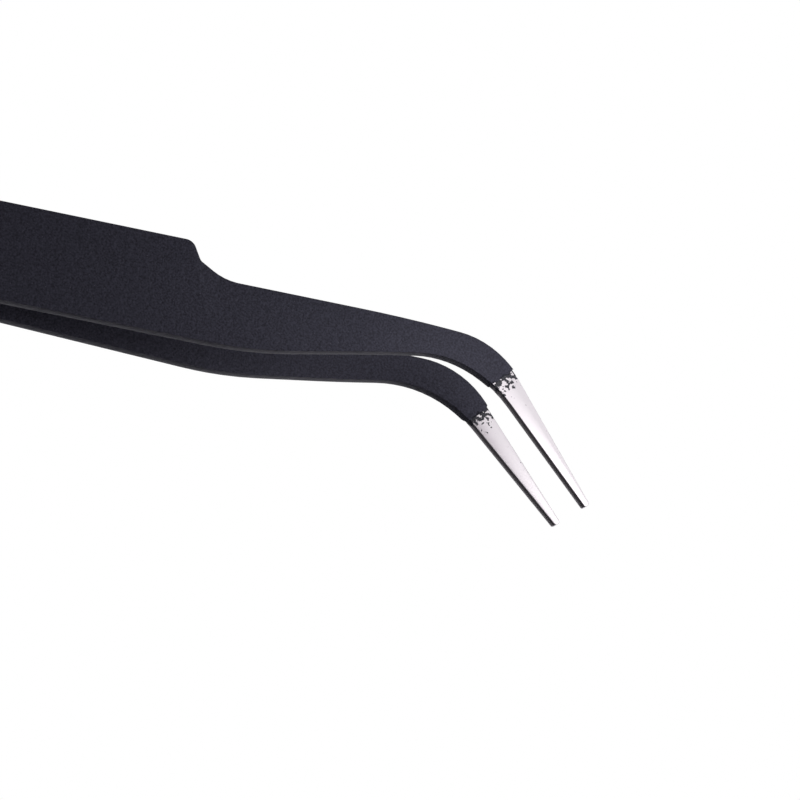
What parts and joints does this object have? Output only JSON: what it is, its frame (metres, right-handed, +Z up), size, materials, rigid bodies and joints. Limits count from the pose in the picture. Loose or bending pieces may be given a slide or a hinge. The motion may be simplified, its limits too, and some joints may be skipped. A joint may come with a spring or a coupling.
{
  "type": "precision tweezers",
  "caption": "Spring-steel precision tweezers with a stepped neck, bent narrow tips and a dark coating, lying on one arm; the arms close to pick up lashes, hairs or small parts.",
  "frame": {"origin": "centre of the footprint in plan, at the bench surface that the lower arm lies on", "axes": "+X along the grip towards the tips, +Z up from the bench, the way the arms open, +Y towards the notched edge, so the tips bend towards -Y"},
  "size_m": [0.1212, 0.0182, 0.0128],
  "materials": {
    "spring_steel": "fine satin, bare at the tips",
    "weld_steel": "fused, unpolished",
    "black_coating": "matte epoxy powder with a fine grain"
  },
  "bodies": {
    "tail": {"tail_spacer": "spring_steel", "spot_welds": "weld_steel", "tail_coating": "black_coating"},
    "upper": {"upper_arm": "spring_steel", "upper_coating": "black_coating"},
    "lower": {"lower_arm": "spring_steel", "lower_coating": "black_coating"}
  },
  "joints": [
    {"name": "upper_flex", "type": "hinge", "parent": "tail", "child": "upper", "pos_m": [-0.04843, 0.00407, 0.00333], "axis": [0, 1, 0], "range_deg": [0, 1.8], "stiffness_Nm_per_rad": 1.5},
    {"name": "lower_flex", "type": "hinge", "parent": "tail", "child": "lower", "pos_m": [-0.04837, 0.00407, 0.00183], "axis": [0, -1, 0], "range_deg": [0, 1.8], "stiffness_Nm_per_rad": 1.5}
  ]
}
